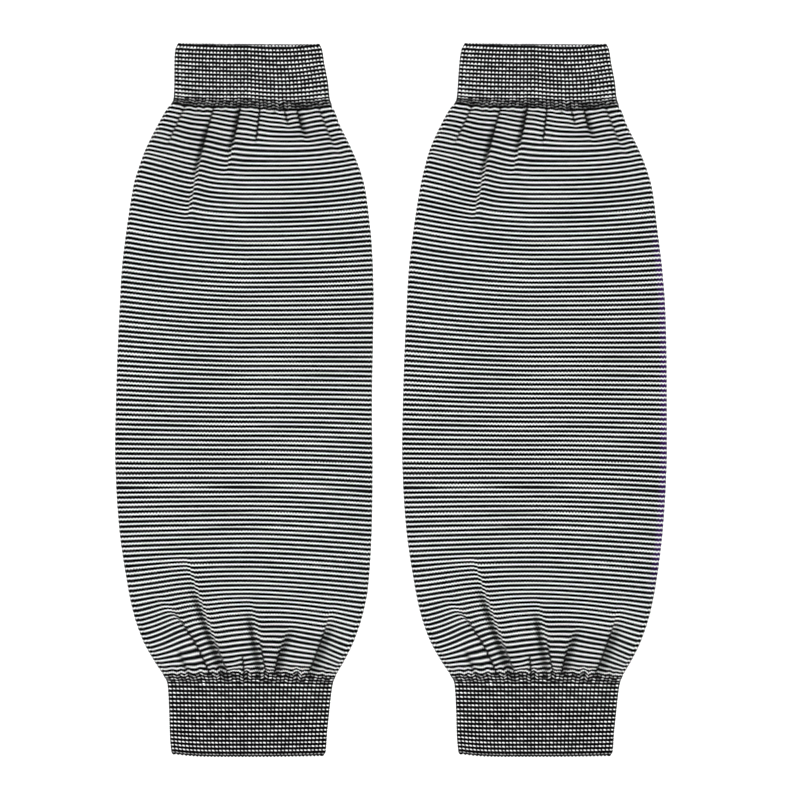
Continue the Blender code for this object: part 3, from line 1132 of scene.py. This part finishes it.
def rib_dots_group() -> Tree:
    """Build the group that draws rows of light stitches, one on each rib.

    Returns:
        The group, which puts out where the light stitches and the rows between them lie, the
        rib's height, a random number for each stitch and one that runs on over a few of them.
    """
    tree, graph, taken, given = start_group(
        "rib_dots",
        "Ribs, Pairs, Width, Depth, Arch, Slant, Mottle",
        "Dot, Row, Height, Chance, Patch",
    )
    ribs, pairs = taken["Ribs"], taken["Pairs"]
    row = graph.math("FLOOR", pairs)
    chance = graph.scatter(graph.join(graph.math("FLOOR", ribs), row))
    run = graph.noise(graph.join(ribs, graph.times(row, ROW_JUMP)), RUN_SCALE)
    own = graph.times(chance, CHANCE_SHARE)
    patch = graph.blend(graph.step(run, *RUN_EDGE), RUN_SHARE, own)
    swing = graph.times(graph.less(run, 0.5), taken["Mottle"])
    across = graph.less(graph.math("FRACT", ribs), 0.5)
    down = graph.blend(swing, RUN_DROP, graph.less(graph.math("FRACT", pairs), 0.5))
    square = graph.times(across, across)
    sag = graph.times(graph.blend(square, 4.0, -ARCH_LEVEL), taken["Arch"])
    down = graph.math("ADD", graph.less(down, sag), graph.times(across, taken["Slant"]))
    loose = graph.blend(chance, MORE_SIZE, LEAST_SIZE)
    reaches = []
    for offset, size in ((across, taken["Width"]), (down, taken["Depth"])):
        reach = graph.math("DIVIDE", offset, graph.times(size, loose))
        reaches.append(graph.math("ABSOLUTE", reach))
    away = graph.math("ADD", *(graph.math("POWER", reach, STITCH_POWER) for reach in reaches))
    results = {
        "Dot": graph.less(1.0, graph.step(away, *STITCH_EDGE)),
        "Row": graph.less(1.0, graph.step(reaches[1], *ROW_EDGE)),
        "Height": graph.less(1.0, graph.times(square, 4.0)),
        "Chance": chance,
        "Patch": patch,
    }
    for name, result in results.items():
        graph.feed(given[name], result)
    return tree


def yarn_fuzz_group() -> Tree:
    """Build the group for a yarn's uneven tone and its loose fibres.

    Returns:
        The group, which puts out a tone about 1 and a fine height.
    """
    tree, graph, taken, given = start_group("yarn_fuzz", "Wales, Courses, Amount", "Tone, Height")
    place = graph.join(taken["Wales"], graph.times(taken["Courses"], 2.5))
    fine = graph.noise(place, 6.0)
    both = graph.less(graph.math("ADD", graph.noise(place, 0.9), fine), 1.0)
    graph.feed(given["Tone"], graph.blend(both, taken["Amount"], 1.0))
    graph.feed(given["Height"], fine)
    return tree


def fold_shade_group() -> Tree:
    """Build the group that paints shade into the yarn's colour in a fold, where little light
    reaches it.

    Returns:
        The group, which puts out the colour darkened by painted shade.
    """
    tree, graph, taken, given = start_group("fold_shade", "Colour, Shade, Depth", "Colour")
    share = graph.times(taken["Shade"], taken["Depth"])
    graph.feed(given["Colour"], graph.mix(share, taken["Colour"], (0.004, 0.004, 0.004)))
    return tree


@dataclass
class KnitGroups:
    """The node groups that the finishes share."""

    courses: Tree
    dots: Tree
    fuzz: Tree
    shade: Tree

    @classmethod
    def build(cls) -> "KnitGroups":
        """Build each group once."""
        return cls(plain_courses_group(), rib_dots_group(), yarn_fuzz_group(), fold_shade_group())


def matt_material(
    name: str, roughness: float, specular: float
) -> tuple[bpy.types.Material, Graph, bpy.types.NodeInputs]:
    """Make a matt material.

    Args:
        name: its name.
        roughness: its shader's roughness.
        specular: its shader's specular level.

    Returns:
        The material, a graph on its tree and its shader's inputs.
    """
    material = bpy.data.materials.new(name)
    material.use_nodes = True
    inputs = material.node_tree.nodes["Principled BSDF"].inputs
    inputs["Roughness"].default_value = roughness
    inputs["Specular IOR Level"].default_value = specular
    inputs["Metallic"].default_value = 0.0
    return material, Graph(material.node_tree), inputs


@dataclass(frozen=True, kw_only=True)
class KnitFinish:
    """What the finishes of both knits share.

    Attributes:
        light: the white yarn.
        dark: the black yarn.
        roughness: how matt the yarn is.
        specular: how strongly it reflects.
        relief: height of a stitch.
        bump: how strongly that height shows.
        uneven: how much the yarn's tone varies.
        fibres: how high its fibres stand beside a stitch.
        dimming: how dark the painted shade makes it in a fold.
    """

    light: Colour
    dark: Colour = (0.0020, 0.0020, 0.0022)
    roughness: float
    specular: float = 0.03
    relief: float
    bump: float = 0.6
    uneven: float
    fibres: float
    dimming: float

    def yarns(self, graph: Graph, groups: KnitGroups, fuzz: Sockets) -> tuple[Socket, Socket]:
        """Colour and height of the stitches, which each knit draws in its own way."""
        raise NotImplementedError

    def material(self, name: str, groups: KnitGroups) -> bpy.types.Material:
        """Make the material.

        Args:
            name: its name.
            groups: the shared node groups.

        Returns:
            The material.
        """
        material, graph, inputs = matt_material(name, self.roughness, self.specular)
        across, down = graph.knit_place()
        fuzz = graph.use(groups.fuzz, Wales=across, Courses=down, Amount=self.uneven)
        colour, height = self.yarns(graph, groups, fuzz)
        # The folds' painted shade, which darkens the yarn's colour
        shade = graph.mark("shade")
        dimmed = graph.use(groups.shade, Colour=colour, Shade=shade, Depth=self.dimming)
        graph.feed(inputs["Base Color"], dimmed["Colour"])
        bump = graph.node("ShaderNodeBump")
        bump.inputs["Distance"].default_value = self.relief
        bump.inputs["Strength"].default_value = self.bump
        graph.feed(bump.inputs["Height"], graph.blend(fuzz["Height"], self.fibres, height))
        graph.feed(inputs["Normal"], bump.outputs["Normal"])
        return material


@dataclass(frozen=True, kw_only=True)
class StripedJersey(KnitFinish):
    """Jersey in single courses of black and white yarn.

    Attributes:
        fringe: the dark violet that the black courses turn to along one edge.
        dark_share: how much of a pair of courses is black.
        painted_shade_share: how much more of it is drawn black where a fold's painted shade lies.
        zigzag: how far the stitches' legs cross a course's edge, in courses.
        stray: how far a course's edge wanders, in courses.
    """

    light: Colour = (0.94, 0.94, 0.94)
    roughness: float = 0.92
    relief: float = 0.00010
    uneven: float = 0.10
    fibres: float = 0.25
    dimming: float = 0.95
    fringe: Colour = (0.030, 0.006, 0.070)
    dark_share: float = 0.690
    painted_shade_share: float = 0.14
    zigzag: float = 0.275
    stray: float = 0.10

    def yarns(self, graph: Graph, groups: KnitGroups, fuzz: Sockets) -> tuple[Socket, Socket]:
        """Colour and height of the courses' stitches.

        Args:
            graph: the material's graph.
            groups: the shared node groups.
            fuzz: the yarn's tone and fibres.

        Returns:
            The colour and the height.
        """
        wales, courses = graph.knit_place()
        knit = graph.use(
            groups.courses,
            Wales=wales,
            Courses=courses,
            # Painted shade: more of each pair of courses is drawn black where the folds' shade mark
            # lies
            Dark_Share=graph.blend(graph.mark("shade"), self.painted_shade_share, self.dark_share),
            Zigzag=self.zigzag,
            Stray=self.stray,
        )
        dark = graph.mix(graph.mark("fringe"), self.dark, self.fringe)
        colour = graph.mix(knit["Dark"], graph.scaled(self.light, fuzz["Tone"]), dark)
        return colour, knit["Height"]


@dataclass(frozen=True, kw_only=True)
class RibKnit(KnitFinish):
    """Elastic rib, black with a row of white stitches between each two black rows.

    Attributes:
        between: the grey that shows between two white stitches.
        width: half a white stitch's width, in ribs.
        depth: half its depth, in pairs of rows.
        arch: how far a white stitch's ends hang below its middle, in pairs of rows.
        slant: how far its right end hangs below its left one, in pairs of rows.
    """

    light: Colour = (0.98, 0.98, 0.98)
    roughness: float = 0.94
    relief: float = 0.00012
    uneven: float = 0.12
    fibres: float = 0.3
    dimming: float = 0.8
    between: Colour = (0.028, 0.028, 0.030)
    width: float
    depth: float
    arch: float
    slant: float

    def yarns(self, graph: Graph, groups: KnitGroups, fuzz: Sockets) -> tuple[Socket, Socket]:
        """Colour and height of the ribs' stitches.

        Args:
            graph: the material's graph.
            groups: the shared node groups.
            fuzz: the yarn's tone and fibres.

        Returns:
            The colour and the height.
        """
        ribs, pairs = graph.knit_place()
        mottle = graph.mark("mottle")
        dots = graph.use(
            groups.dots,
            Ribs=ribs,
            Pairs=pairs,
            Width=graph.times(graph.mark("spread"), self.width),
            Depth=self.depth,
            Arch=self.arch,
            Slant=self.slant,
            Mottle=mottle,
        )
        own = graph.blend(dots["Chance"], MORE_TONE, LEAST_TONE)
        tone = graph.blend(graph.blend(dots["Patch"], 2.0, -1.0), mottle, own)
        bright = graph.times(graph.times(tone, fuzz["Tone"]), graph.mark("bright"))
        ground = graph.mix(dots["Row"], self.dark, self.between)
        return graph.mix(dots["Dot"], ground, graph.scaled(self.light, bright)), dots["Height"]


@dataclass(frozen=True)
class PaleFloor:
    """A plain pale surface.

    Attributes:
        colour: its colour.
        unevenness: how much its tone varies.
        grain: how finely it does.
        glow: how strongly it is lit from below, as a light table is.
        roughness: how matt it is.
        specular: how strongly it reflects.
    """

    colour: Colour = (0.96, 0.96, 0.96)
    unevenness: float = 0.01
    grain: float = 9.0
    glow: float = 0.45
    roughness: float = 0.9
    specular: float = 0.1

    def material(self) -> bpy.types.Material:
        """Make the material."""
        material, graph, inputs = matt_material("pale_floor", self.roughness, self.specular)
        place = graph.node("ShaderNodeTexCoord").outputs["Object"]
        share = graph.times(graph.noise(place, self.grain), 2.0 * self.unevenness)
        darker = tuple(0.5 * part for part in self.colour)
        graph.feed(inputs["Base Color"], graph.mix(share, self.colour, darker))
        inputs["Emission Color"].default_value = (1.0, 1.0, 1.0, 1.0)
        inputs["Emission Strength"].default_value = self.glow
        return material


@dataclass(frozen=True, kw_only=True)
class KnitTube:
    """A stretch of a sleeve, made as a closed wall.

    Attributes:
        form: the sleeve's form.
        part: its name within the sleeve.
        slot: the record's material slot; not used.
        table: where its rows lie.
        length_rows: how many courses or pairs of rows it has.
        steps_each: strips of faces for each of them.
        wall: how thick it is.
        layout: the columns of a ring.
        flat: girth and length of its cut; not used.
        area: the cut's area where it isn't a rectangle; not used.
    """

    form: SleeveForm
    part: str
    slot: str
    table: SmoothTable
    length_rows: int
    steps_each: int
    wall: float
    layout: RingLayout
    flat: tuple[float, float]
    area: float | None = None

    def ring_rows(self) -> tuple[Grid, Grid]:
        """Counts and heights of its rows of points, evenly spaced in the knit."""
        counts = np.linspace(0.0, self.length_rows, self.length_rows * self.steps_each + 1)
        return counts, self.table.read(counts)["y"]

    def outer_rows(self) -> Rows:
        """Rows of the outer face, from the upper end to the lower one."""
        raise NotImplementedError

    def inner_rows(self, outer: Rows) -> Rows:
        """Rows of the inner face, from the lower end to the upper one."""
        raise NotImplementedError

    def section(self, outer: Skin, inner: Skin) -> list[Skin]:
        """What follows round the wall's section."""
        return [outer, inner]

    def build(self, material: bpy.types.Material) -> None:
        """Args:
            material: its finish.
        """
        rows = self.outer_rows()
        lining = self.inner_rows(rows)
        charts = BAKE_OUTER * np.linspace(0.0, 1.0, len(rows.counts))
        outer = tube_skin(self.form, self.layout, rows, self.wall, 0.0, charts)
        charts = np.linspace(BAKE_OUTER + BAKE_EDGE, 1.0 - BAKE_EDGE, len(lining.counts))
        inner = tube_skin(self.form, self.layout, lining, self.wall, self.wall, charts)
        node = f"{self.form.name}_{self.part}"
        piece = make_shell(node + "_knit", self.layout, self.section(outer, inner))
        piece.location.x = self.form.centre
        piece.data.materials.append(material)
        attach(piece, "root")
        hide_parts(node)
        LOG.info("%s: %d faces", piece.name, len(piece.data.polygons))


@dataclass(frozen=True, kw_only=True)
class BodyTube(KnitTube):
    """The striped tube between the two cuffs.

    Attributes:
        fringed: whether its right edge has the violet fringe.
        inner_step: outer rows for each inner one.
        stray: how far a row strays along the tube.
    """

    part: str = "body"
    slot: str = "striped_jersey"
    table: SmoothTable = BODY_ROWS
    length_rows: int = 243
    steps_each: int = 2
    wall: float = BODY_WALL
    layout: RingLayout = RingLayout(42, 7, 122, 80, 4)
    flat: tuple[float, float] = (0.288, 0.306)
    area: float = 0.078
    fringed: bool
    inner_step: int = 9
    stray: float = 0.00009

    def fringe_marks(self, heights: Grid, places: Grid) -> Grid:
        """Where the black courses turn violet: at the right fold of one sleeve's middle."""
        marks = np.zeros((len(heights), self.layout.columns))
        if self.fringed:
            reach = FRINGE_LOW.at(heights) * FRINGE_HIGH.at(heights)
            front = self.layout.front_columns
            marks[:, self.layout.back + 1 : front.start] = reach[:, None]
            marks[:, front] = FRINGE_SIDE.at(places[:, ::-1]) * reach[:, None]
        return marks

    def outer_rows(self) -> Rows:
        """Rows of the outer face, with a ridge for each course."""
        counts, heights = self.ring_rows()
        places = self.form.crowded_places(heights, self.layout.front)
        wander = np.random.default_rng(11).normal(0.0, self.stray, (len(heights), 1))
        wander[:2] = wander[-2:] = 0.0
        valley = (np.arange(len(heights)) % 2 == 0).astype(float)[:, None]
        relief = COURSE_DEPTH * valley * np.ones((1, self.layout.columns))
        marks = {"fringe": self.fringe_marks(heights, places)}
        return Rows(heights, counts, places, relief, marks, wander)

    def inner_rows(self, outer: Rows) -> Rows:
        """Rows of the inner face: every few of the outer ones, and the first."""
        index = np.arange(len(outer.counts) - 1, -1, -self.inner_step)
        return outer.pick(index if index[-1] == 0 else np.append(index, 0))


@dataclass(frozen=True, kw_only=True)
class Cuff(KnitTube):
    """A ribbed cuff.

    Attributes:
        upper: whether it is the cuff at the mouth.
        shift: what brings the middle of a white stitch to half a pair.
        inner_shift: how far the inner face's rows lie from the outer one's, in pairs.
        inner_count: rows of points on the inner face.
    """

    slot: str = "rib_knit"
    steps_each: int = 6
    wall: float = CUFF_WALL
    layout: RingLayout = RingLayout(80, 24, 320, 40, 3)
    upper: bool
    shift: float
    inner_shift: float = 0.45
    inner_count: int = 13

    def relief(self, counts: Grid, places: Grid) -> Grid:
        """How far each point is sunk between the ribs and between the white stitches."""
        ribs = self.layout.stitch_map(places)[:, :-1]
        across = ribs - np.floor(ribs) - 0.5
        down = counts[:, None] - np.floor(counts[:, None]) - 0.5
        crest = np.cos(math.pi * across) ** 2
        dot = bell(across / DOT_WIDE) * bell(down / DOT_TALL)
        ends = np.minimum(counts - counts[0], counts[-1] - counts)
        ends = smooth_step(ends / RELIEF_FADE)[:, None]
        return ends * (RIB_DEPTH * (1.0 - crest) + DOT_DEPTH * (1.0 - dot))

    def marks(self, counts: Grid) -> dict[str, Grid]:
        """How wide, how bright and how uneven the white stitches are."""
        flat = np.zeros((len(counts), self.layout.columns))
        count = counts[:, None] - self.shift
        spread, bright = 1.0 + flat, 1.0 + flat
        if self.upper:
            side = np.abs(np.linspace(-1.0, 1.0, self.layout.front + 1))[None, :]
            spread[:, self.layout.front_columns] = 1.0 + (WIDE_SIDES.at(side) + WIDE_ROWS.at(count))
            band = UPPER_BAND.at(count)
            bright = bright - UPPER_BAND_DIM * band
        else:
            band = LOWER_BAND.at(count)
            bright = bright - LOWER_BAND_DIM * band - LAST_ROW.at(count)
        return {"spread": spread, "bright": bright, "mottle": MOTTLE * band + flat}

    def outer_rows(self) -> Rows:
        """Rows of the outer face, with its ribs and stitches."""
        counts, heights = self.ring_rows()
        places = np.tile(np.linspace(-1.0, 1.0, self.layout.front + 1), (len(counts), 1))
        knit = counts + self.shift
        relief = self.relief(knit, places)
        return Rows(heights, knit, places, relief, self.marks(knit), np.zeros((len(counts), 1)))

    def inner_rows(self, outer: Rows) -> Rows:
        """Rows of the inner face, which is plain."""
        index = np.round(np.linspace(len(outer.counts) - 1, 0, self.inner_count)).astype(int)
        rows = outer.pick(index)
        return replace(rows, counts=rows.counts + self.inner_shift, relief=0.0 * rows.relief)

    def section(self, outer: Skin, inner: Skin) -> list[Skin]:
        """What follows round the wall's section: only the free edge bulges, rib by rib."""
        ribs = self.layout.stitch_map(outer.rows.places[:1])[0, :-1]
        roll = RIM_ROLL * (RIM_MEAN - RIM_SWING * np.cos(2.0 * math.pi * ribs))
        if self.upper:
            return [outer, inner, rolled_rim(inner, outer, roll, 1.0)]
        return [outer, rolled_rim(outer, inner, -roll, BAKE_OUTER + BAKE_EDGE), inner]


@dataclass(frozen=True)
class SleevePair:
    """Both sleeves, each a body and two cuffs.

    Attributes:
        groups: the shared node groups.
    """

    groups: KnitGroups

    def forms(self) -> tuple[SleeveForm, SleeveForm]:
        """The two sleeves' forms: the left one is drawn in a little on both sides."""
        seams = (
            GatheredSeam(UPPER_SEAM, -1.0, UPPER_GATHERS, 5, 0.00030),
            GatheredSeam(LOWER_SEAM, 1.0, LOWER_GATHERS, 8, 0.00055),
        )
        tucks = (Tuck(-1.0, 0.1917, 0.1169, 0.0022), Tuck(1.0, 0.0876, -0.1031, 0.0042))
        return (
            SleeveForm("left", -SLEEVE_SPACING / 2.0, tucks, seams),
            SleeveForm("right", SLEEVE_SPACING / 2.0, (), seams),
        )

    def build(self) -> None:
        upper = RibKnit(width=0.330, depth=0.192, arch=0.34, slant=0.0)
        lower = RibKnit(
            width=0.335, depth=0.166, arch=0.04, slant=0.16, between=(0.036, 0.036, 0.038)
        )
        jersey = StripedJersey().material("striped_jersey_finish", self.groups)
        upper_rib = upper.material("upper_rib_finish", self.groups)
        lower_rib = lower.material("lower_rib_finish", self.groups)
        for form in self.forms():
            BodyTube(form=form, fringed=form.name == "right").build(jersey)
            Cuff(
                form=form, part="upper_cuff", table=UPPER_CUFF_ROWS, length_rows=16,
                flat=(0.172, 0.032), upper=True, shift=-0.25,
            ).build(upper_rib)
            Cuff(
                form=form, part="lower_cuff", table=LOWER_CUFF_ROWS, length_rows=21,
                flat=(0.172, 0.044), upper=False, shift=0.25,
            ).build(lower_rib)


@dataclass(frozen=True)
class Studio:
    """The surface, the light and the camera, straight above the pair.

    Attributes:
        floor_size: width of the surface.
        floor_drop: how far it lies below the knit.
        camera_height: how high the camera hangs.
        view_width: what the image takes in across.
        view_x: what lies under the image's middle, across.
        view_y: what lies under it, along the sleeves.
        sensor: width of the camera's sensor in millimetres.
        sky: strength of the light from all round.
        lamp_power: power of the soft lamp above.
        lamp_size: its width.
        lamp_height: how high it hangs.
    """

    floor_size: float = 8.0
    floor_drop: float = 0.0003
    camera_height: float = 9.0
    view_width: float = 0.4272
    view_x: float = 0.00475
    view_y: float = -0.00027
    sensor: float = 36.0
    sky: float = 0.56
    lamp_power: float = 82.0
    lamp_size: float = 2.4
    lamp_height: float = 3.6

    def place(
        self, name: str, data: bpy.types.ID, x: float, y: float, z: float
    ) -> bpy.types.Object:
        """Put something into the scene."""
        thing = bpy.data.objects.new(name, data)
        thing.location = (x, y, z)
        bpy.context.scene.collection.objects.link(thing)
        return thing

    def lay_floor(self) -> None:
        """Lay the surface."""
        half = self.floor_size / 2.0
        corners = [(-half, -half, 0.0), (half, -half, 0.0), (half, half, 0.0), (-half, half, 0.0)]
        mesh = bpy.data.meshes.new("floor")
        mesh.from_pydata(corners, [], [(0, 1, 2, 3)])
        mesh.materials.append(PaleFloor().material())
        self.place("floor", mesh, 0.0, 0.0, -self.floor_drop)

    def hang_lights(self) -> None:
        """Light the pair evenly from all round and softly from above."""
        world = bpy.data.worlds.new("soft_sky")
        world.use_nodes = True
        background = world.node_tree.nodes["Background"]
        background.inputs["Color"].default_value = (1.0, 1.0, 1.0, 1.0)
        background.inputs["Strength"].default_value = self.sky
        bpy.context.scene.world = world
        lamp = bpy.data.lights.new("soft_lamp", "AREA")
        lamp.shape = "SQUARE"
        lamp.size = self.lamp_size
        lamp.energy = self.lamp_power
        self.place("soft_lamp", lamp, 0.0, 0.0, self.lamp_height)

    def hang_camera(self) -> None:
        """Hang the camera straight above the pair."""
        camera = bpy.data.cameras.new("camera")
        camera.sensor_width = self.sensor
        camera.lens = self.sensor * self.camera_height / self.view_width
        camera.clip_end = 3.0 * self.camera_height
        hung = self.place("camera", camera, self.view_x, self.view_y, self.camera_height)
        bpy.context.scene.camera = hung

    def build(self) -> None:
        """Set up all of it, with plain colours in the image."""
        self.lay_floor()
        self.hang_lights()
        self.hang_camera()
        bpy.context.scene.view_settings.view_transform = "Standard"


def main() -> None:
    """Build the pair and the studio."""
    logging.basicConfig(level=logging.INFO, format="%(message)s")
    Studio().build()
    SleevePair(KnitGroups.build()).build()


if __name__ == "__main__":
    main()
